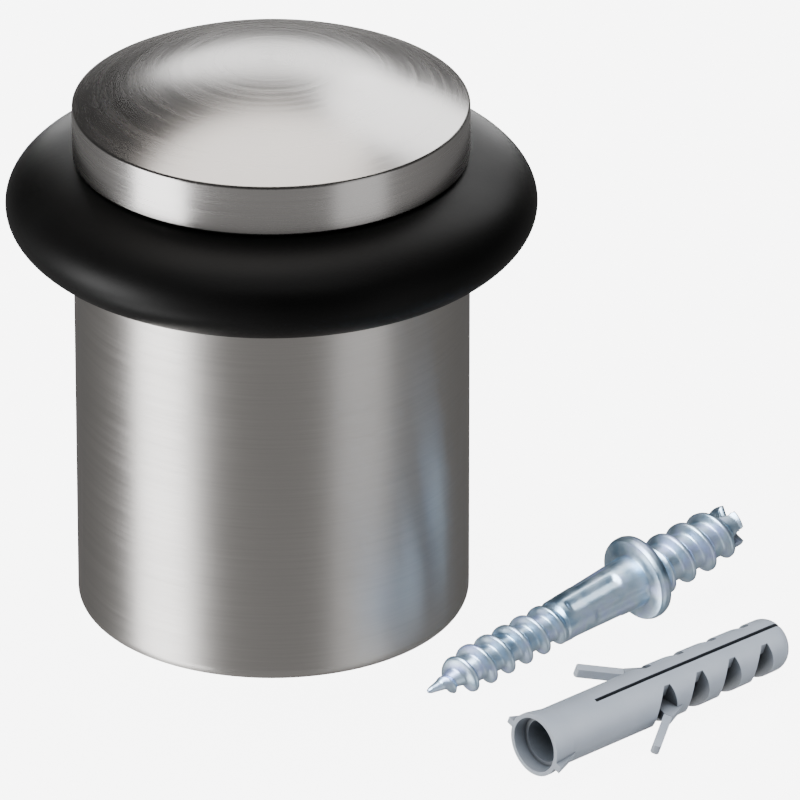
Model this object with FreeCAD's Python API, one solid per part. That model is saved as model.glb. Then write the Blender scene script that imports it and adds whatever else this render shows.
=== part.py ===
"""Floor door stop: steel cap and sleeve on a moulded core, a rubber bumper ring, a screw and a wall plug.

Millimetres. The origin is the centre of the base, on the floor, with +Z up. The stop stands on the
origin. Its double-ended screw and its wall plug lie on the floor beside it, each along its own axis.
"""

import FreeCAD, Part
import math
import os

V = FreeCAD.Vector

# ---------------------------------------------------------------- driving dimensions of the stop
BODY_DIAMETER = 40.0
TOTAL_HEIGHT = 60.3
SHEET = 0.8  # steel sheet of the cap and of the sleeve
GROOVE_FLOOR_DIAMETER = 29.0
GROOVE_BOTTOM = 39.0  # top edge of the sleeve
GROOVE_TOP = 50.0  # bottom edge of the cap
CAP_EDGE_HEIGHT = 55.2  # where the cap's skirt meets its dome
CAP_EDGE_RADIUS = 0.35
SHEET_EDGE_RADIUS = 0.2
FOOT_RADIUS = 1.4  # outside bend where the sleeve turns in under the core
FOOT_FLANGE_RADIUS = 17.6  # inner edge of the turned-in foot

BUMPER_DIAMETER = 53.6
BUMPER_GAP = 0.06  # running clearance to the groove, all round
BUMPER_NOSE_CENTRE = 17.0  # radius at which the flat flanks turn into the rounded nose

# ---------------------------------------------------------------- moulded core
CORE_WALL = 3.0
CORE_BOSS_DIAMETER = 17.0
CORE_RIB_COUNT = 12
CORE_RIB_THICKNESS = 1.6
CORE_POCKET_DEPTH = 32.0
SCREW_BORE_DIAMETER = 4.9  # the coarse thread cuts its way into this bore
SCREW_BORE_END = 16.0
COLLAR_RECESS_DIAMETER = 10.0
COLLAR_RECESS_DEPTH = 2.5
HEAD_TOP = 54.5

# ---------------------------------------------------------------- double-ended screw, measured from its point
SCREW_LENGTH = 42.0
POINT_LENGTH = 3.4
POINT_RADIUS = 0.4
POINT_TAPER_END = 8.0  # crests reach full height near here
FINE_THREAD_END = 17.7
FINE_CREST_RADIUS = 2.4
FINE_ROOT_RADIUS = 1.6
FINE_PITCH = 2.42
SHANK_START_RADIUS = 2.3
SHANK_END_RADIUS = 2.8
SHANK_CONE = 1.2  # short cone from the fine thread's root out to the shank
FLUTE_COUNT = 6
FLUTE_LENGTH = 6.0
FLUTE_RADIUS = 0.7
FLUTE_DEPTH = 0.35
FLUTE_START = 1.0  # from the shank's thin end to the first row of grooves
FLUTE_STAGGER = 2.9  # how far the second row is set towards the collar
COLLAR_START = 28.2
COLLAR_END = 29.8
COLLAR_RADIUS = 4.5
COLLAR_EDGE_RADIUS = 0.55
COARSE_CREST_RADIUS = 3.0
COARSE_ROOT_RADIUS = 2.15
COARSE_PITCH = 2.85
THREAD_STEPS = 16  # points per turn
THREAD_SUNK = 0.12  # how far a ridge is rooted below the root radius
RIDGE_FOOT = 0.42  # half widths of a ridge, in pitches
RIDGE_CREST = 0.07
FINE_THREAD_LEAD = 0.45  # pitches left plain behind the point's cone
FINE_THREAD_STOP = 0.62  # and before the shank
COARSE_THREAD_GAP = 0.3  # plain root between collar and coarse thread
TAIL_ROOT = 0.5  # how deep the coarse end is rooted in the collar
ENVELOPE_START = -0.1
ENVELOPE_SPREAD = 0.5  # room outside the full crests
ENVELOPE_OVERRUN = 0.25
DRIVE_SLOT_WIDTH = 1.5  # cross recess at the coarse end
DRIVE_SLOT_DEPTH = 1.8
DRIVE_SLOT_TAPER = 0.4  # share of the width that is left at the bottom
DRIVE_SLOT_RISE = 0.2  # the recess is drawn from this far above the end

# ---------------------------------------------------------------- wall plug, measured from its mouth
PLUG_LENGTH = 34.0
PLUG_LIP_RADIUS = 3.3
PLUG_LIP_BAND = 0.5  # straight edge of the lip before it tapers to the body
PLUG_LIP_LENGTH = 2.6
PLUG_RADIUS = 3.0
PLUG_END_RADIUS = 2.75
PLUG_TIP_ROUNDING = 1.7
MOUTH_RADIUS = 2.85
MOUTH_STEP_RADIUS = 2.6
MOUTH_DEPTH = 1.3
PLUG_BORE_RADIUS = 2.2
PLUG_BORE_END = 7.0
PLUG_BORE_CONE = 1.6
PLUG_CHANNEL_RADIUS = 1.1
PLUG_CHANNEL_END = 30.5
SLOT_WIDTH = 0.4
SLOT_START = 7.4
NOTCH_COUNT = 4
FIRST_NOTCH = 16.2
NOTCH_PITCH = 4.6
NOTCH_LEAD = 2.2  # how far the gentle face runs towards the mouth, at the plug's skin
NOTCH_TAIL = 1.0  # and the steep face towards the tip
NOTCH_DEPTH = 1.6
NOTCH_FLOOR_HALF = 0.4
NOTCH_OVERRUN = 0.3  # the notch is drawn from this far outside the plug's side
NOTCH_WINDOW_LENGTH = 1.1  # opening from the notch floor into the channel
NOTCH_WINDOW_HALF = 1.0
KEY_LENGTH = 3.4  # side keys at the mouth stop the plug turning in its hole
KEY_REACH = 4.0
KEY_THICKNESS = 0.8
KEY_ROOT = 0.15  # how deep a key is rooted in the side
FIN_HINGE = 15.1
FIN_GAP = 0.06
FIN_LENGTH = 5.0
FIN_THICKNESS = 0.9
FIN_WIDTH = 1.1
FIN_TIP_ROUNDING = 0.36
FIN_SWEEP = 34.0  # degrees away from the plug's side at rest
FIN_WEB_LENGTH = 2.6
FIN_WEB_FOOT = 1.4  # distance from the axis down to which the web is rooted
FIN_WEB_SUNK = 0.2  # how far the web's slope ends below the side

# ---------------------------------------------------------------- where the loose fixings lie
SCREW_HEADING = 42.0  # degrees from +X towards +Y
SCREW_POINT_AT = (15.6, -25.2)
PLUG_HEADING = 43.3
PLUG_MOUTH_AT = (26.2, -39.3)
PLUG_ROLL = 21.0
FLOOR_CLEARANCE = 0.12  # lifts the screw so that no crest dips into the floor
PLUG_FLOOR_GAP = 0.01

BODY_RADIUS = BODY_DIAMETER / 2
CORE_RADIUS = BODY_RADIUS - SHEET
NECK_RADIUS = GROOVE_FLOOR_DIAMETER / 2

CUT_PAST = 1.0  # how far a cut runs past the skin
SAME_PLACE = 1e-4


# ---------------------------------------------------------------- helpers
def line(a, b):
    """A straight edge in the XZ plane between two (radius, height) points."""
    return Part.LineSegment(V(a[0], 0, a[1]), V(b[0], 0, b[1])).toShape()


def outline(points):
    """Straight edges through the (radius, height) points, in order."""
    return [line(a, b) for a, b in zip(points, points[1:])]


def lathe(edges):
    """A solid of revolution about Z from a closed loop of edges in the XZ plane."""
    face = Part.Face(Part.Wire(edges))
    solid = face.revolve(V(0, 0, 0), V(0, 0, 1), 360)
    return Part.Solid(solid) if solid.ShapeType == "Shell" else solid


def dome_arc(radius, edge_height, top_height):
    """The arc from the axis out to radius, and the height of its sphere's centre."""
    rise = top_height - edge_height
    sphere = (radius * radius + rise * rise) / (2 * rise)
    half = math.asin(radius / sphere) / 2
    middle = V(sphere * math.sin(half), 0, top_height - sphere * (1 - math.cos(half)))
    return Part.Arc(V(0, 0, top_height), middle, V(radius, 0, edge_height)).toShape()


def circle_edges(solid, radius, height):
    """The solid's round edges about Z of that radius at that height."""
    found = []
    for edge in solid.Edges:
        if edge.Degenerated or not isinstance(edge.Curve, Part.Circle):
            continue
        if abs(edge.Curve.Radius - radius) < SAME_PLACE and abs(edge.Curve.Center.z - height) < SAME_PLACE:
            found.append(edge)
    return found


def box(x0, x1, y0, y1, z0, z1):
    return Part.makeBox(x1 - x0, y1 - y0, z1 - z0, V(x0, y0, z0))


# ---------------------------------------------------------------- the stop
def top_cap():
    """Deep-drawn cap: a dome with a short skirt of the sleeve's diameter."""
    outer = dome_arc(BODY_RADIUS, CAP_EDGE_HEIGHT, TOTAL_HEIGHT)
    inner = dome_arc(CORE_RADIUS, CAP_EDGE_HEIGHT - SHEET / 2, TOTAL_HEIGHT - SHEET)
    skirt = outline([
        (BODY_RADIUS, CAP_EDGE_HEIGHT),
        (BODY_RADIUS, GROOVE_TOP),
        (CORE_RADIUS, GROOVE_TOP),
        (CORE_RADIUS, CAP_EDGE_HEIGHT - SHEET / 2),
    ])
    axis = line((0, TOTAL_HEIGHT - SHEET), (0, TOTAL_HEIGHT))
    cap = lathe([outer] + skirt + [inner, axis])
    cap = cap.makeFillet(CAP_EDGE_RADIUS, circle_edges(cap, BODY_RADIUS, CAP_EDGE_HEIGHT))
    return cap.makeFillet(SHEET_EDGE_RADIUS, circle_edges(cap, BODY_RADIUS, GROOVE_TOP))


def body_sleeve():
    """Straight steel tube whose foot is turned in under the core."""
    tube = Part.makeCylinder(BODY_RADIUS, GROOVE_BOTTOM)
    tube = tube.makeFillet(FOOT_RADIUS, circle_edges(tube, BODY_RADIUS, 0))
    tube = tube.makeFillet(SHEET_EDGE_RADIUS, circle_edges(tube, BODY_RADIUS, GROOVE_BOTTOM))
    hollow = Part.makeCylinder(CORE_RADIUS, GROOVE_BOTTOM, V(0, 0, SHEET))
    hollow = hollow.makeFillet(FOOT_RADIUS - SHEET, circle_edges(hollow, CORE_RADIUS, SHEET))
    return tube.cut(hollow).cut(Part.makeCylinder(FOOT_FLANGE_RADIUS, GROOVE_BOTTOM))


def core():
    """Ribbed drum inside the sleeve, the neck that holds the bumper, and the head inside the cap."""
    drum = Part.makeCylinder(CORE_RADIUS, GROOVE_BOTTOM - SHEET, V(0, 0, SHEET))
    drum = drum.makeFillet(FOOT_RADIUS - SHEET, circle_edges(drum, CORE_RADIUS, SHEET))
    solid = drum.fuse([
        Part.makeCylinder(FOOT_FLANGE_RADIUS, SHEET * 2),
        Part.makeCylinder(NECK_RADIUS, HEAD_TOP - SHEET, V(0, 0, SHEET)),
        Part.makeCylinder(CORE_RADIUS, HEAD_TOP - GROOVE_TOP, V(0, 0, GROOVE_TOP)),
    ])
    pockets = Part.makeCylinder(CORE_RADIUS - CORE_WALL, CORE_POCKET_DEPTH)
    pockets = pockets.cut(Part.makeCylinder(CORE_BOSS_DIAMETER / 2, CORE_POCKET_DEPTH))
    for i in range(CORE_RIB_COUNT // 2):
        rib = box(-CORE_RADIUS, CORE_RADIUS, -CORE_RIB_THICKNESS / 2, CORE_RIB_THICKNESS / 2,
                  0, CORE_POCKET_DEPTH)
        rib.rotate(V(0, 0, 0), V(0, 0, 1), i * 360 / CORE_RIB_COUNT)
        pockets = pockets.cut(rib)
    solid = solid.cut(pockets)
    solid = solid.cut(Part.makeCylinder(SCREW_BORE_DIAMETER / 2, SCREW_BORE_END))
    solid = solid.cut(Part.makeCylinder(COLLAR_RECESS_DIAMETER / 2, COLLAR_RECESS_DEPTH))
    return solid.removeSplitter()


def bumper_ring():
    """Rubber ring: flat flanks in the groove and a rounded nose that stands out of it."""
    low = GROOVE_BOTTOM + BUMPER_GAP
    high = GROOVE_TOP - BUMPER_GAP
    middle = (low + high) / 2
    root = NECK_RADIUS + BUMPER_GAP
    nose = Part.Ellipse(
        V(BUMPER_DIAMETER / 2, 0, middle),
        V(BUMPER_NOSE_CENTRE, 0, high),
        V(BUMPER_NOSE_CENTRE, 0, middle),
    )
    half_turn = Part.ArcOfEllipse(nose, -math.pi / 2, math.pi / 2).toShape()
    flanks = outline([
        (BUMPER_NOSE_CENTRE, high),
        (root, high),
        (root, low),
        (BUMPER_NOSE_CENTRE, low),
    ])
    return lathe([half_turn] + flanks)


# ---------------------------------------------------------------- the screw, along +Z from its point
def thread(root, crest, pitch, start, end):
    """A helical ridge of flat-topped section whose foot is sunk a little below the root radius."""
    steps = math.ceil((end - start) / pitch * THREAD_STEPS)
    foot = root - THREAD_SUNK
    lines = []
    section = ((foot, -RIDGE_FOOT), (crest, -RIDGE_CREST), (crest, RIDGE_CREST), (foot, RIDGE_FOOT))
    for radius, lift in section:
        points = []
        for i in range(steps + 1):
            along = (end - start) * i / steps
            turn = 2 * math.pi * along / pitch
            height = start + along + lift * pitch
            points.append(V(radius * math.cos(turn), radius * math.sin(turn), height))
        curve = Part.BSplineCurve()
        curve.interpolate(points)
        lines.append(curve.toShape())
    faces = [Part.makeRuledSurface(lines[i], lines[(i + 1) % 4]) for i in range(4)]
    for end_of in (0, -1):
        corners = [edge.Vertexes[end_of].Point for edge in lines]
        faces.append(Part.Face(Part.makePolygon(corners + [corners[0]])))
    shell = Part.Shell(faces)
    shell.sewShape()
    ridge = Part.Solid(shell)
    if ridge.Volume < 0:
        ridge.reverse()
    return ridge


def shank():
    """Tapering shank between fine thread and collar, pressed with short grooves in two staggered rows."""
    solid = lathe(outline([
        (0, FINE_THREAD_END - SHANK_CONE),
        (FINE_ROOT_RADIUS, FINE_THREAD_END - SHANK_CONE),
        (SHANK_START_RADIUS, FINE_THREAD_END),
        (SHANK_END_RADIUS, COLLAR_START + COLLAR_EDGE_RADIUS),
        (0, COLLAR_START + COLLAR_EDGE_RADIUS),
        (0, FINE_THREAD_END - SHANK_CONE),
    ]))
    lean = math.degrees(math.atan((SHANK_END_RADIUS - SHANK_START_RADIUS) / (COLLAR_START - FINE_THREAD_END)))
    for i in range(FLUTE_COUNT):
        foot = FINE_THREAD_END + FLUTE_START + (i % 2) * FLUTE_STAGGER
        skin = SHANK_START_RADIUS + math.tan(math.radians(lean)) * (foot - FINE_THREAD_END)
        flute = Part.makeCylinder(FLUTE_RADIUS, FLUTE_LENGTH)
        ends = [Part.makeSphere(FLUTE_RADIUS), Part.makeSphere(FLUTE_RADIUS, V(0, 0, FLUTE_LENGTH))]
        flute = flute.fuse(ends)
        flute.rotate(V(0, 0, 0), V(0, 1, 0), lean)
        flute.translate(V(skin + FLUTE_RADIUS - FLUTE_DEPTH, 0, foot))
        flute.rotate(V(0, 0, 0), V(0, 0, 1), i * 360 / FLUTE_COUNT)
        solid = solid.cut(flute)
    return solid


def point_envelope():
    """The space inside which the fine thread's crests shrink towards the point."""
    end = COLLAR_START + COLLAR_EDGE_RADIUS + ENVELOPE_OVERRUN
    return lathe(outline([
        (0, ENVELOPE_START),
        (2 * POINT_RADIUS, 2 * POINT_RADIUS),
        (FINE_CREST_RADIUS + ENVELOPE_SPREAD, POINT_TAPER_END),
        (COLLAR_RADIUS, end),
        (0, end),
        (0, ENVELOPE_START),
    ]))


def drive_recess():
    """Two crossed V-sided slots that narrow towards the bottom."""
    top = SCREW_LENGTH + DRIVE_SLOT_RISE
    bottom = SCREW_LENGTH - DRIVE_SLOT_DEPTH
    half = DRIVE_SLOT_WIDTH / 2
    floor_half = half * DRIVE_SLOT_TAPER
    reach = COARSE_CREST_RADIUS + CUT_PAST
    section = Part.Face(Part.makePolygon([
        V(-half, -reach, top),
        V(half, -reach, top),
        V(floor_half, -reach, bottom),
        V(-floor_half, -reach, bottom),
        V(-half, -reach, top),
    ]))
    slot = section.extrude(V(0, 2 * reach, 0))
    crossing = slot.copy()
    crossing.rotate(V(0, 0, 0), V(0, 0, 1), 90)
    return slot.fuse(crossing)


def fixing_screw():
    """Double-ended screw: pointed fine thread, fluted shank, collar, coarse thread with a cross recess."""
    blank = lathe(outline([
        (0, 0),
        (POINT_RADIUS, POINT_RADIUS),
        (FINE_ROOT_RADIUS, POINT_LENGTH),
        (FINE_ROOT_RADIUS, FINE_THREAD_END),
        (0, FINE_THREAD_END),
        (0, 0),
    ]))
    collar = Part.makeCylinder(COLLAR_RADIUS, COLLAR_END - COLLAR_START, V(0, 0, COLLAR_START))
    collar = collar.makeFillet(COLLAR_EDGE_RADIUS, circle_edges(collar, COLLAR_RADIUS, COLLAR_START)
                               + circle_edges(collar, COLLAR_RADIUS, COLLAR_END))
    tail_start = COLLAR_START + TAIL_ROOT
    tail = Part.makeCylinder(COARSE_ROOT_RADIUS, SCREW_LENGTH - tail_start, V(0, 0, tail_start))
    fine_start = POINT_LENGTH + FINE_THREAD_LEAD * FINE_PITCH
    fine_end = FINE_THREAD_END - FINE_THREAD_STOP * FINE_PITCH
    fine = thread(FINE_ROOT_RADIUS, FINE_CREST_RADIUS, FINE_PITCH, fine_start, fine_end)
    coarse = thread(COARSE_ROOT_RADIUS, COARSE_CREST_RADIUS, COARSE_PITCH,
                    COLLAR_END + COARSE_THREAD_GAP, SCREW_LENGTH - RIDGE_FOOT * COARSE_PITCH)
    threaded = blank.fuse(shank()).fuse(fine).common(point_envelope())
    return threaded.fuse(collar.fuse(tail).fuse(coarse)).cut(drive_recess())


# ------------------------------------------------------ the plug, along +X from its mouth, slot upright
def turned(points):
    """A solid of revolution about X through (station, radius) points, closed along the axis."""
    loop = [(0, points[0][0])] + [(r, x) for x, r in points] + [(0, points[-1][0])]
    solid = lathe(outline(loop + [loop[0]]))
    solid.rotate(V(0, 0, 0), V(0, 1, 0), 90)
    return solid


def plug_notch(station, side):
    """A cutter for one saw-tooth notch straight across a side, with a window into the channel."""
    deep = side * (PLUG_RADIUS - NOTCH_DEPTH)
    skin = side * (PLUG_RADIUS + NOTCH_OVERRUN)
    low = -PLUG_RADIUS - CUT_PAST
    face = Part.Face(Part.makePolygon([
        V(station + NOTCH_FLOOR_HALF, deep, low),
        V(station + NOTCH_TAIL, skin, low),
        V(station - NOTCH_LEAD, skin, low),
        V(station - NOTCH_FLOOR_HALF, deep, low),
        V(station + NOTCH_FLOOR_HALF, deep, low),
    ]))
    window = box(station - NOTCH_WINDOW_LENGTH, station + NOTCH_FLOOR_HALF, min(0, deep), max(0, deep),
                 -NOTCH_WINDOW_HALF, NOTCH_WINDOW_HALF)
    return face.extrude(V(0, 0, -2 * low)).fuse(window)


def wall_plug():
    """Nylon plug: flared mouth with a key each side, stepped bore, split and notched length, fin roots."""
    body = turned([
        (0, PLUG_LIP_RADIUS),
        (PLUG_LIP_BAND, PLUG_LIP_RADIUS),
        (PLUG_LIP_LENGTH, PLUG_RADIUS),
        (FIN_HINGE, PLUG_RADIUS),
        (PLUG_LENGTH, PLUG_END_RADIUS),
    ])
    rim = [e for e in body.Edges if not e.Degenerated and isinstance(e.Curve, Part.Circle)
           and e.Curve.Center.x > PLUG_LENGTH - SAME_PLACE]
    body = body.makeFillet(PLUG_TIP_ROUNDING, rim)
    for side in (1, -1):
        root = side * (PLUG_RADIUS - KEY_ROOT)
        key = Part.Face(Part.makePolygon([
            V(0, root, -KEY_THICKNESS / 2),
            V(0, side * KEY_REACH, -KEY_THICKNESS / 2),
            V(KEY_LENGTH, root, -KEY_THICKNESS / 2),
            V(0, root, -KEY_THICKNESS / 2),
        ])).extrude(V(0, 0, KEY_THICKNESS))
        for i in range(NOTCH_COUNT):
            body = body.cut(plug_notch(FIRST_NOTCH + i * NOTCH_PITCH, side))
        body = body.fuse([key, fin_web(side)])
    hollow = turned([
        (0, MOUTH_RADIUS),
        (MOUTH_DEPTH, MOUTH_STEP_RADIUS),
        (MOUTH_DEPTH, PLUG_BORE_RADIUS),
        (PLUG_BORE_END, PLUG_BORE_RADIUS),
        (PLUG_BORE_END + PLUG_BORE_CONE, PLUG_CHANNEL_RADIUS),
        (PLUG_CHANNEL_END, PLUG_CHANNEL_RADIUS),
    ])
    slot_reach = PLUG_LIP_RADIUS + CUT_PAST
    slot = box(SLOT_START, PLUG_LENGTH + CUT_PAST, -SLOT_WIDTH / 2, SLOT_WIDTH / 2, -slot_reach, slot_reach)
    return body.cut(hollow).cut(slot)


def fin_pivot(side):
    """The line on the plug's side about which a fin bends, as a point."""
    return V(FIN_HINGE, side * (PLUG_RADIUS + FIN_GAP), 0)


def fin_web(side):
    """The fixed foot behind a fin, sloping down to the plug's side."""
    sweep = math.radians(FIN_SWEEP)
    pivot = fin_pivot(1)
    end_x = pivot.x + FIN_THICKNESS * math.sin(sweep)
    end_y = pivot.y + FIN_THICKNESS * math.cos(sweep)
    web = Part.Face(Part.makePolygon([
        V(pivot.x + FIN_GAP, FIN_WEB_FOOT, -FIN_WIDTH / 2),
        V(pivot.x + FIN_GAP, pivot.y, -FIN_WIDTH / 2),
        V(end_x + FIN_GAP, end_y, -FIN_WIDTH / 2),
        V(end_x + FIN_WEB_LENGTH, PLUG_RADIUS - FIN_WEB_SUNK, -FIN_WIDTH / 2),
        V(end_x + FIN_WEB_LENGTH, FIN_WEB_FOOT, -FIN_WIDTH / 2),
        V(pivot.x + FIN_GAP, FIN_WEB_FOOT, -FIN_WIDTH / 2),
    ])).extrude(V(0, 0, FIN_WIDTH))
    return web if side > 0 else web.mirror(V(0, 0, 0), V(0, 1, 0))


def plug_fin(side):
    """A springy fin that trails back from its root and stands off the plug's side."""
    bar = box(-FIN_LENGTH, 0, 0, FIN_THICKNESS, -FIN_WIDTH / 2, FIN_WIDTH / 2)
    tip = [e for e in bar.Edges if abs(e.CenterOfMass.x + FIN_LENGTH) < SAME_PLACE
           and abs(e.CenterOfMass.z) < SAME_PLACE]
    bar = bar.makeFillet(FIN_TIP_ROUNDING, tip)
    bar.rotate(V(0, 0, 0), V(0, 0, 1), -FIN_SWEEP)
    bar.translate(fin_pivot(1))
    return bar if side > 0 else bar.mirror(V(0, 0, 0), V(0, 1, 0))


# ---------------------------------------------------------------- laying the fixings on the floor
def lay_screw(shape):
    """Lays +Z along the heading, leaning so that the fine thread and the collar both touch the floor."""
    run = COLLAR_START + COLLAR_EDGE_RADIUS - POINT_TAPER_END
    lean = math.degrees(math.atan((COLLAR_RADIUS - FINE_CREST_RADIUS) / run))
    shape = shape.copy()
    shape.rotate(V(0, 0, 0), V(0, 1, 0), 90 - lean)
    shape.rotate(V(0, 0, 0), V(0, 0, 1), SCREW_HEADING)
    height = FINE_CREST_RADIUS - POINT_TAPER_END * math.sin(math.radians(lean)) + FLOOR_CLEARANCE
    shape.translate(V(SCREW_POINT_AT[0], SCREW_POINT_AT[1], height))
    return shape


def lay_plug(shape):
    """Lays +X along the heading, rolled so that one fin's tip is near the floor."""
    lean = math.degrees(math.atan((PLUG_LIP_RADIUS - PLUG_END_RADIUS) / PLUG_LENGTH))
    shape = shape.copy()
    shape.rotate(V(0, 0, 0), V(1, 0, 0), PLUG_ROLL)
    shape.rotate(V(0, 0, 0), V(0, 1, 0), lean)
    shape.rotate(V(0, 0, 0), V(0, 0, 1), PLUG_HEADING)
    shape.translate(V(PLUG_MOUTH_AT[0], PLUG_MOUTH_AT[1], PLUG_LIP_RADIUS + PLUG_FLOOR_GAP))
    return shape


def main():
    parts = {
        "top_cap": top_cap(),
        "body_sleeve": body_sleeve(),
        "core": core(),
        "bumper_ring": bumper_ring(),
        "fixing_screw": lay_screw(fixing_screw()),
        "wall_plug": lay_plug(wall_plug()),
        "plug_fin_left": lay_plug(plug_fin(1)),
        "plug_fin_right": lay_plug(plug_fin(-1)),
    }
    os.makedirs("parts", exist_ok=True)
    for name, shape in parts.items():
        solid = shape.Solids[0]
        solid.exportStep(f"parts/{name}.step")
        print(name, len(shape.Solids), solid.isValid(), round(solid.Volume, 2))


main()
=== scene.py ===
"""Door stop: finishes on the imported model, a finer skin for its screw, studio light and the camera."""

import math

import bpy
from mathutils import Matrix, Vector


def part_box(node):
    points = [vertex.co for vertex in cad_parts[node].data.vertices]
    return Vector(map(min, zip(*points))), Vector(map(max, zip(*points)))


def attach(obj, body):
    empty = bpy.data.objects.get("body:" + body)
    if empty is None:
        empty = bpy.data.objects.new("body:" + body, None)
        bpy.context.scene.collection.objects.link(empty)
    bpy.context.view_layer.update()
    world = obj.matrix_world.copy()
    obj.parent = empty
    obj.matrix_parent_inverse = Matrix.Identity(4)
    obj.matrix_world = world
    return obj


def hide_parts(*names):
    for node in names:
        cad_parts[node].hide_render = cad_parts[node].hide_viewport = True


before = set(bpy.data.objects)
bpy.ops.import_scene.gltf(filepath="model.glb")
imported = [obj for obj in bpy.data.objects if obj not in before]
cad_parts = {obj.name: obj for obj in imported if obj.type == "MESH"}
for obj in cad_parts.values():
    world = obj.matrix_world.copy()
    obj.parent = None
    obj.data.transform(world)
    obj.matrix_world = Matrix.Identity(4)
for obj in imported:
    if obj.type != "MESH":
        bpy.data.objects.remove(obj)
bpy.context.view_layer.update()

# ---------------------------------------------------------------- camera, in metres and degrees
CAMERA_ELEVATION = 26.5
CAMERA_DISTANCE = 1.15
VIEW_WIDTH = 0.0812  # width of the picture at the object
SENSOR_WIDTH = 36.0  # millimetres
AIM = Vector((0.01292, 0.0, 0.02192))  # the point at the middle of the picture

# ---------------------------------------------------------------- screw, in millimetres and degrees
SCREW_LENGTH = 42.0
POINT_TAPER_END = 8.0  # the fine crest that the screw rests on
FINE_CREST_RADIUS = 2.4
COLLAR_START = 28.2
COLLAR_EDGE_RADIUS = 0.55
COLLAR_RADIUS = 4.5
SCREW_HEADING = 42.0
SCREW_LEAN = math.degrees(math.atan(
    (COLLAR_RADIUS - FINE_CREST_RADIUS) / (COLLAR_START + COLLAR_EDGE_RADIUS - POINT_TAPER_END)))
FINE_PITCH = 2.42
COARSE_PITCH = 2.85
THREAD_CHANGE = 20.0  # the station on the shank that parts the fine thread from the coarse one
CORE_PROFILE = (
    (0.0, 0.02), (0.12, 0.22), (0.5, 0.36), (1.9, 0.62), (6.0, 1.55), (16.6, 1.6), (17.6, 2.28),
    (28.2, 2.8), (28.21, 4.05), (28.35, 4.36), (28.75, 4.5), (29.25, 4.5), (29.65, 4.36),
    (29.79, 4.05), (29.8, 2.2), (42.0, 2.1),
)  # station along the screw and its radius without threads
CREST_PROFILE = (
    (0.0, 0.0), (1.6, 0.55), (2.3, 1.05), (3.2, 1.6), (4.4, 2.15), (6.0, 2.38), (16.2, 2.38),
    (17.6, 2.25), (17.7, 0.0), (30.0, 0.0), (30.1, 2.2), (31.2, 2.98), (38.6, 2.95), (42.0, 2.4),
)  # station and radius over the crests, with 0 where there is no thread
RIDGE_FOOT = 0.31  # half width of a thread ridge at its foot, in pitches
RIDGE_TOP = 0.045  # and at its top
FLUTES = 6
FLUTE_DEPTH = 0.28
FLUTE_HALF_WIDTH = 0.5
FLUTE_ROWS = ((18.2, 25.4), (20.8, 28.4))  # the two staggered rows, first and last station
FLUTE_RUN_OUT = 0.7  # length over which a groove's ends rise to the surface
DRIVE_SLOT_HALF = 0.75  # half width of the cross recess at the screw's coarse end
DRIVE_SLOT_DEPTH = 1.9
DRIVE_SLOT_NARROWING = 0.75  # share of the width that is lost by the bottom
DRIVE_FLOOR_RADIUS = 0.35  # radius that is left in the recess
SCREW_ROWS = 420
SCREW_SIDES = 128

# ---------------------------------------------------------------- brush marks, in metres
STREAK_RUN = 55.0  # cycles per metre along a mark
STREAK_PITCH = 2600.0  # and across it
STREAK_DEPTH = 0.000004
STREAK_SHADE = 2.8  # how much a mark darkens the steel, per unit of its roughness
NOISE_RANGE = (0.3, 0.7)  # where most values of a noise lie

# ---------------------------------------------------------------- light and floor, in metres
LIGHT_DISTANCE = 0.5
GLOW_FRONT = 0.355  # strength of the surroundings below the horizon, on the camera's side
GLOW_BACK = 0.19  # and on the far side
GLOW_ABOVE = 0.04  # and above the horizon
GLOW_TURN = (-0.2, 0.7)  # y of the directions where the front ends and the back begins
GLOW_HORIZON = 0.15  # half height of the soft edge at the horizon
GLOW_COLOUR = (1.0, 0.985, 0.97, 1.0)
WHITE = (1.0, 1.0, 1.0)
FLOOR_SIZE = 6.0
FLOOR_DROP = 0.0001  # gap that keeps the floor clear of the stop's flat base
FLOOR_GLOW = 7.0


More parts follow.
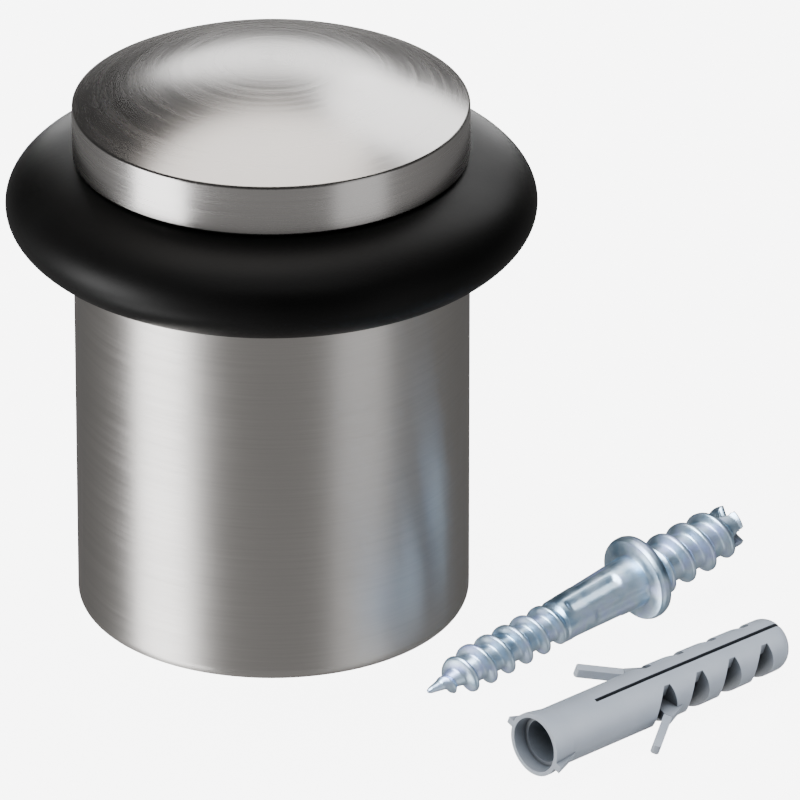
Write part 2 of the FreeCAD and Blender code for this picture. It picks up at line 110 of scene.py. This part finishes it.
# ---------------------------------------------------------------- node helpers
class Finish:
    """A Principled material with short calls for the nodes that drive it."""

    def __init__(self, name, **sockets):
        self.material = bpy.data.materials.new(name)
        self.material.use_nodes = True
        self.tree = self.material.node_tree
        self.shader = self.tree.nodes["Principled BSDF"]
        for socket, value in sockets.items():
            self.shader.inputs[socket.replace("_", " ")].default_value = value

    def node(self, kind, **settings):
        made = self.tree.nodes.new("ShaderNode" + kind)
        for name, value in settings.items():
            setattr(made, name, value)
        return made

    def link(self, source, target):
        self.tree.links.new(source, target)

    def drive(self, socket, source):
        self.link(source, self.shader.inputs[socket])

    def math(self, operation, first, second=None):
        made = self.node("Math", operation=operation)
        for socket, value in zip(made.inputs, (first, second)):
            if value is None:
                continue
            if isinstance(value, (int, float)):
                socket.default_value = value
            else:
                self.link(value, socket)
        return made.outputs[0]

    def place(self):
        """Object coordinates, which are the model's own frame in metres."""
        return self.node("TexCoord").outputs["Object"]

    def noise(self, scale, detail, roughness=0.5, vector=None):
        made = self.node("TexNoise")
        made.inputs["Scale"].default_value = scale
        made.inputs["Detail"].default_value = detail
        made.inputs["Roughness"].default_value = roughness
        self.link(vector or self.place(), made.inputs["Vector"])
        return made.outputs["Fac"]

    def spread(self, value, low, high):
        """Maps a noise value's middle range to low .. high."""
        made = self.node("MapRange")
        made.inputs["From Min"].default_value = NOISE_RANGE[0]
        made.inputs["From Max"].default_value = NOISE_RANGE[1]
        made.inputs["To Min"].default_value = low
        made.inputs["To Max"].default_value = high
        self.link(value, made.inputs["Value"])
        return made.outputs["Result"]

    def ramp(self, value, *stops):
        made = self.node("ValToRGB")
        elements = made.color_ramp.elements
        while len(elements) < len(stops):
            elements.new(0.5)
        for element, (position, colour) in zip(elements, stops):
            element.position = position
            element.color = (*colour, 1.0)
        self.link(value, made.inputs["Fac"])
        return made.outputs["Color"]

    def bump(self, height, distance, strength):
        made = self.node("Bump")
        made.inputs["Distance"].default_value = distance
        made.inputs["Strength"].default_value = strength
        self.link(height, made.inputs["Height"])
        return made.outputs["Normal"]

    def painted_crevice_shade(self, reach, low, high):
        """Ambient occlusion for painted shade: 1 on open skin, falling to 0 in corners and hollows within
        reach.
        """
        made = self.node("AmbientOcclusion", samples=8, only_local=True)
        made.inputs["Distance"].default_value = reach
        scaled = self.node("MapRange")
        scaled.inputs["From Min"].default_value = low
        scaled.inputs["From Max"].default_value = high
        self.link(made.outputs["AO"], scaled.inputs["Value"])
        return scaled.outputs["Result"]

    def shade(self, colour, factor, floor):
        """Paints shade: darkens a colour from full at factor 1 to the floor share at factor 0."""
        share = self.node("MapRange")
        share.inputs["To Min"].default_value = floor
        self.link(factor, share.inputs["Value"])
        made = self.node("VectorMath", operation="SCALE")
        self.link(colour, made.inputs[0])
        self.link(share.outputs["Result"], made.inputs["Scale"])
        return made.outputs["Vector"]


def grey(value):
    return (value, value, value)


# ---------------------------------------------------------------- the screw's fine surface
def between(profile, at):
    """Straight-line reading of a (station, value) profile."""
    for (x0, y0), (x1, y1) in zip(profile, profile[1:]):
        if at <= x1:
            return y0 + (y1 - y0) * (at - x0) / (x1 - x0)
    return profile[-1][1]


def smooth(value):
    value = min(1.0, max(0.0, value))
    return value * value * (3 - 2 * value)


def ridge(station, angle, core):
    """How far a thread stands above the core."""
    crest = between(CREST_PROFILE, station)
    pitch = FINE_PITCH if station < THREAD_CHANGE else COARSE_PITCH
    phase = (station / pitch - angle / (2 * math.pi)) % 1.0 - 0.5
    rise = smooth((RIDGE_FOOT - abs(phase)) / (RIDGE_FOOT - RIDGE_TOP))
    return max(0.0, crest - core) * rise


def flute(station, angle, core):
    """How deep the shank's nearest groove is cut."""
    turn = angle / (2 * math.pi) * FLUTES
    first, last = FLUTE_ROWS[round(turn) % 2]
    offset = abs(turn - round(turn)) * 2 * math.pi / FLUTES * core
    length = smooth((station - first) / FLUTE_RUN_OUT) * smooth((last - station) / FLUTE_RUN_OUT)
    return FLUTE_DEPTH * length * smooth(1 - offset / (2 * FLUTE_HALF_WIDTH))


def screw_radius(station, angle):
    """Radius of the screw's skin at a station along it and an angle round it."""
    core = between(CORE_PROFILE, station)
    radius = core + ridge(station, angle, core) - flute(station, angle, core)
    slot = DRIVE_SLOT_HALF * (1 - DRIVE_SLOT_NARROWING * (SCREW_LENGTH - station) / DRIVE_SLOT_DEPTH)
    nearest = (angle + math.pi / 4) % (math.pi / 2) - math.pi / 4
    if station > SCREW_LENGTH - DRIVE_SLOT_DEPTH and radius * abs(math.sin(nearest)) < slot:
        radius = DRIVE_FLOOR_RADIUS
    return radius


def screw_points():
    """The skin's points, ring by ring, centred over the CAD screw's box and standing as low as it."""
    lean, heading = math.radians(SCREW_LEAN), math.radians(SCREW_HEADING)
    along = Vector((math.cos(lean) * math.cos(heading), math.cos(lean) * math.sin(heading), math.sin(lean)))
    side = Vector((-math.sin(heading), math.cos(heading), 0.0))
    up = along.cross(side)
    points = []
    for row in range(SCREW_ROWS + 1):
        station = SCREW_LENGTH * row / SCREW_ROWS
        for step in range(SCREW_SIDES):
            angle = 2 * math.pi * step / SCREW_SIDES
            radius = screw_radius(station, angle)
            spot = along * station + (side * math.cos(angle) + up * math.sin(angle)) * radius
            points.append(spot / 1000)
    low, high = ([extreme(p[axis] for p in points) for axis in range(3)] for extreme in (min, max))
    cad_low, cad_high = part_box("fixing_screw")
    shift = Vector([(cad_low[axis] + cad_high[axis] - low[axis] - high[axis]) / 2 for axis in range(3)])
    shift.z = cad_low[2] - low[2]
    return [p + shift for p in points]


def screw_faces():
    """Four-sided faces between the rings, and one face at each end."""
    faces = []
    for row in range(SCREW_ROWS):
        for step in range(SCREW_SIDES):
            a, b = row * SCREW_SIDES + step, row * SCREW_SIDES + (step + 1) % SCREW_SIDES
            faces.append((a, b, b + SCREW_SIDES, a + SCREW_SIDES))
    faces.append(tuple(range(SCREW_SIDES))[::-1])
    last = SCREW_ROWS * SCREW_SIDES
    faces.append(tuple(range(last, last + SCREW_SIDES)))
    return faces


def screw():
    mesh = bpy.data.meshes.new("screw_skin")
    mesh.from_pydata(screw_points(), [], screw_faces())
    mesh.shade_smooth()
    mesh.materials.append(zinc())
    piece = bpy.data.objects.new("screw_skin", mesh)
    bpy.context.scene.collection.objects.link(piece)
    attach(piece, "screw")
    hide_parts("fixing_screw")
    return piece


# ---------------------------------------------------------------- materials
def streak_place(finish):
    """Coordinates stretched round the stop's axis: fast across the brush marks, slow along them."""
    parts = finish.node("SeparateXYZ")
    finish.link(finish.place(), parts.inputs[0])
    radius = finish.math("SQRT", finish.math("ADD", finish.math("POWER", parts.outputs[0], 2.0),
                                             finish.math("POWER", parts.outputs[1], 2.0)))
    across = finish.math("MULTIPLY", finish.math("ADD", radius, parts.outputs[2]), STREAK_PITCH)
    joined = finish.node("CombineXYZ")
    finish.link(finish.math("MULTIPLY", parts.outputs[0], STREAK_RUN), joined.inputs[0])
    finish.link(finish.math("MULTIPLY", parts.outputs[1], STREAK_RUN), joined.inputs[1])
    finish.link(across, joined.inputs[2])
    return joined.outputs[0]


def brushed_steel(name, roughness, anisotropy, grain_depth, relief, tint):
    finish = Finish(name, Metallic=1.0, Anisotropic=anisotropy, Anisotropic_Rotation=0.25)
    streaks = finish.noise(1.0, detail=4.0, roughness=0.65, vector=streak_place(finish))
    clouds = finish.noise(70.0, detail=3.0)
    low = tuple(c * (1 - STREAK_SHADE * grain_depth) for c in tint)
    finish.drive("Base Color", finish.ramp(streaks, (0.25, low), (0.75, tint)))
    grain = finish.spread(streaks, roughness - grain_depth, roughness + grain_depth)
    finish.drive("Roughness", finish.math("ADD", grain, finish.spread(clouds, -0.02, 0.02)))
    finish.drive("Normal", finish.bump(streaks, STREAK_DEPTH, relief))
    tangent = finish.node("Tangent", direction_type="RADIAL", axis="Z")
    finish.drive("Tangent", tangent.outputs[0])
    return finish.material


def rubber():
    finish = Finish("rubber", Roughness=0.42, Specular_IOR_Level=0.4, IOR=1.22)
    skin = finish.noise(1800.0, detail=2.0)
    bloom = finish.noise(55.0, detail=4.0)
    finish.drive("Base Color", finish.ramp(bloom, (0.3, grey(0.0022)), (0.75, grey(0.0042))))
    finish.drive("Roughness", finish.spread(bloom, 0.38, 0.48))
    finish.drive("Normal", finish.bump(skin, distance=0.00002, strength=0.25))
    return finish.material


def zinc():
    finish = Finish("zinc", Metallic=1.0)
    patches = finish.noise(420.0, detail=3.0)
    pits = finish.noise(2400.0, detail=2.0)
    colour = finish.ramp(patches, (0.3, (0.45, 0.67, 0.90)), (0.5, (0.68, 0.84, 1.0)),
                         (0.7, (0.58, 0.66, 1.0)))
    # painted shade: ambient occlusion darkens the colour in the thread valleys and drive recess
    painted_shade = finish.painted_crevice_shade(reach=0.0012, low=0.25, high=0.85)
    finish.drive("Base Color", finish.shade(colour, painted_shade, floor=0.25))
    finish.drive("Roughness", finish.spread(patches, 0.30, 0.46))
    finish.drive("Normal", finish.bump(pits, distance=0.00003, strength=0.35))
    return finish.material


def nylon():
    finish = Finish("nylon", Roughness=0.5, Subsurface_Weight=0.12, Subsurface_Scale=0.001,
                    Subsurface_Radius=(1.0, 1.0, 1.1))
    flow = finish.noise(160.0, detail=3.0)
    skin = finish.noise(2600.0, detail=2.0)
    colour = finish.ramp(flow, (0.3, (0.34, 0.38, 0.44)), (0.7, (0.41, 0.45, 0.51)))
    # painted shade: ambient occlusion darkens the colour in the notches, bore and corners
    painted_shade = finish.painted_crevice_shade(reach=0.004, low=0.45, high=0.97)
    finish.drive("Base Color", finish.shade(colour, painted_shade, floor=0.12))
    finish.drive("Roughness", finish.spread(flow, 0.42, 0.55))
    finish.drive("Normal", finish.bump(skin, distance=0.00002, strength=0.2))
    return finish.material


def core_plastic():
    finish = Finish("core_plastic", Roughness=0.5)
    flow = finish.noise(120.0, detail=3.0)
    skin = finish.noise(2200.0, detail=2.0)
    finish.drive("Base Color", finish.ramp(flow, (0.3, (0.028, 0.028, 0.030)), (0.7, (0.040, 0.040, 0.042))))
    finish.drive("Roughness", finish.spread(flow, 0.44, 0.58))
    finish.drive("Normal", finish.bump(skin, distance=0.00003, strength=0.3))
    return finish.material


def dress(node, material):
    """Gives every material slot of a CAD node the same finish."""
    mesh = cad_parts[node].data
    for index in range(len(mesh.materials)):
        mesh.materials[index] = material
    if not mesh.materials:
        mesh.materials.append(material)


def finishes():
    """Dresses every CAD node but the screw, which its skin replaces. Returns that skin and the plug's nodes."""
    dress("body_sleeve", brushed_steel("sleeve_steel", roughness=0.40, anisotropy=0.75, grain_depth=0.05,
                                       relief=0.6, tint=(0.62, 0.60, 0.58)))
    dress("top_cap", brushed_steel("cap_steel", roughness=0.26, anisotropy=0.25, grain_depth=0.035,
                                   relief=0.13, tint=(0.54, 0.525, 0.515)))
    dress("bumper_ring", rubber())
    dress("core", core_plastic())
    plug_finish = nylon()
    plug_nodes = ("wall_plug", "plug_fin_left", "plug_fin_right")
    for node in plug_nodes:
        dress(node, plug_finish)
    return screw(), [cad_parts[node] for node in plug_nodes]


# ---------------------------------------------------------------- studio
def around(azimuth, elevation, distance):
    """A point that far from AIM: azimuth 0 is the camera's side, positive towards +X."""
    a, e = math.radians(azimuth), math.radians(elevation)
    flat = distance * math.cos(e)
    return Vector((flat * math.sin(a), -flat * math.cos(a), distance * math.sin(e))) + AIM


def softbox(name, azimuth, elevation, width, height, watts, colour=WHITE, only=(), shape="RECTANGLE"):
    """A flat soft light that faces AIM. With only, it lights just those objects."""
    light = bpy.data.lights.new(name, "AREA")
    light.shape = shape
    light.size = width
    light.size_y = height
    light.energy = watts
    light.color = colour
    holder = bpy.data.objects.new(name, light)
    holder.location = around(azimuth, elevation, LIGHT_DISTANCE)
    holder.rotation_euler = (AIM - holder.location).to_track_quat("-Z", "Y").to_euler()
    bpy.context.scene.collection.objects.link(holder)
    if only:
        lit = bpy.data.collections.new(name + "_lit")
        for piece in only:
            lit.objects.link(piece)
        holder.light_linking.receiver_collection = lit


def surroundings():
    """A world that is brighter below the horizon than above it, and brightest on the camera's side."""
    world = bpy.data.worlds.new("studio")
    world.use_nodes = True
    bpy.context.scene.world = world
    tree = world.node_tree
    way = tree.nodes.new("ShaderNodeSeparateXYZ")
    tree.links.new(tree.nodes.new("ShaderNodeTexCoord").outputs["Generated"], way.inputs[0])
    below = tree.nodes.new("ShaderNodeMapRange")
    below.inputs["From Min"].default_value = GLOW_TURN[0]
    below.inputs["From Max"].default_value = GLOW_TURN[1]
    below.inputs["To Min"].default_value = GLOW_FRONT
    below.inputs["To Max"].default_value = GLOW_BACK
    tree.links.new(way.outputs[1], below.inputs["Value"])
    fade = tree.nodes.new("ShaderNodeMapRange")
    fade.inputs["From Min"].default_value = -GLOW_HORIZON
    fade.inputs["From Max"].default_value = GLOW_HORIZON
    fade.inputs["To Max"].default_value = GLOW_ABOVE
    tree.links.new(below.outputs["Result"], fade.inputs["To Min"])
    tree.links.new(way.outputs[2], fade.inputs["Value"])
    tree.links.new(fade.outputs["Result"], tree.nodes["Background"].inputs["Strength"])
    tree.nodes["Background"].inputs["Color"].default_value = GLOW_COLOUR


def lights(skin, plug):
    """Each box has its azimuth, elevation, width, height and watts."""
    ring = [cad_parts["bumper_ring"]]
    cap_and_ring = [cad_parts["top_cap"]] + ring
    # the boxes that light every piece, whose reflections are the bands on the steel
    softbox("left_box", -67, -24, 0.27, 0.62, 3.2)
    softbox("right_box", 52, -12, 0.28, 1.0, 0.62)
    softbox("top_box", -160, 76, 0.47, 0.35, 1.4, (1.0, 0.95, 0.90), shape="ELLIPSE")
    # more light on the far side of the dome
    softbox("back_box", 150, 40, 0.28, 0.34, 1.0, only=cap_and_ring, shape="ELLIPSE")
    softbox("middle_box", 182, 29, 0.27, 0.20, 0.45, only=cap_and_ring, shape="ELLIPSE")
    # the soft gleams on the black ring
    softbox("ring_back", 180, 4, 0.30, 0.14, 1.0, only=ring)
    softbox("ring_top", 0, 78, 0.50, 0.50, 1.2, only=ring)
    softbox("ring_left", -74, 0, 0.24, 0.34, 2.8, only=ring)
    # the cooler light on the loose fixings
    softbox("screw_box", -20, 62, 0.45, 0.45, 9.5, (0.84, 0.93, 1.0), only=[skin])
    softbox("plug_box", -20, 62, 0.45, 0.45, 2.7, (0.93, 0.96, 1.0), only=plug)
    softbox("plug_fill", 78, 22, 0.40, 0.40, 2.5, (0.94, 0.96, 1.0), only=plug)


def ground():
    """A pale floor that glows evenly and is left out of reflections, bounced light and shadow casting."""
    bpy.ops.mesh.primitive_plane_add(size=FLOOR_SIZE, location=(0.0, 0.0, -FLOOR_DROP))
    floor = bpy.context.object
    floor.name = "floor"
    paint = Finish("floor_paint", Roughness=0.9, Emission_Color=(*WHITE, 1.0), Emission_Strength=FLOOR_GLOW)
    shade = paint.noise(3.0, detail=2.0)
    paint.drive("Base Color", paint.ramp(shade, (0.3, grey(0.90)), (0.7, grey(0.92))))
    floor.data.materials.append(paint.material)
    floor.visible_glossy = False
    floor.visible_diffuse = False
    floor.visible_shadow = False


def camera():
    lens = bpy.data.cameras.new("camera")
    lens.sensor_width = SENSOR_WIDTH
    lens.lens = SENSOR_WIDTH * CAMERA_DISTANCE / VIEW_WIDTH
    lens.clip_end = 20.0
    holder = bpy.data.objects.new("camera", lens)
    holder.location = around(0, CAMERA_ELEVATION, CAMERA_DISTANCE)
    holder.rotation_euler = (AIM - holder.location).to_track_quat("-Z", "Y").to_euler()
    bpy.context.scene.collection.objects.link(holder)
    bpy.context.scene.camera = holder


camera()
screw_skin, plug_pieces = finishes()
surroundings()
lights(screw_skin, plug_pieces)
ground()
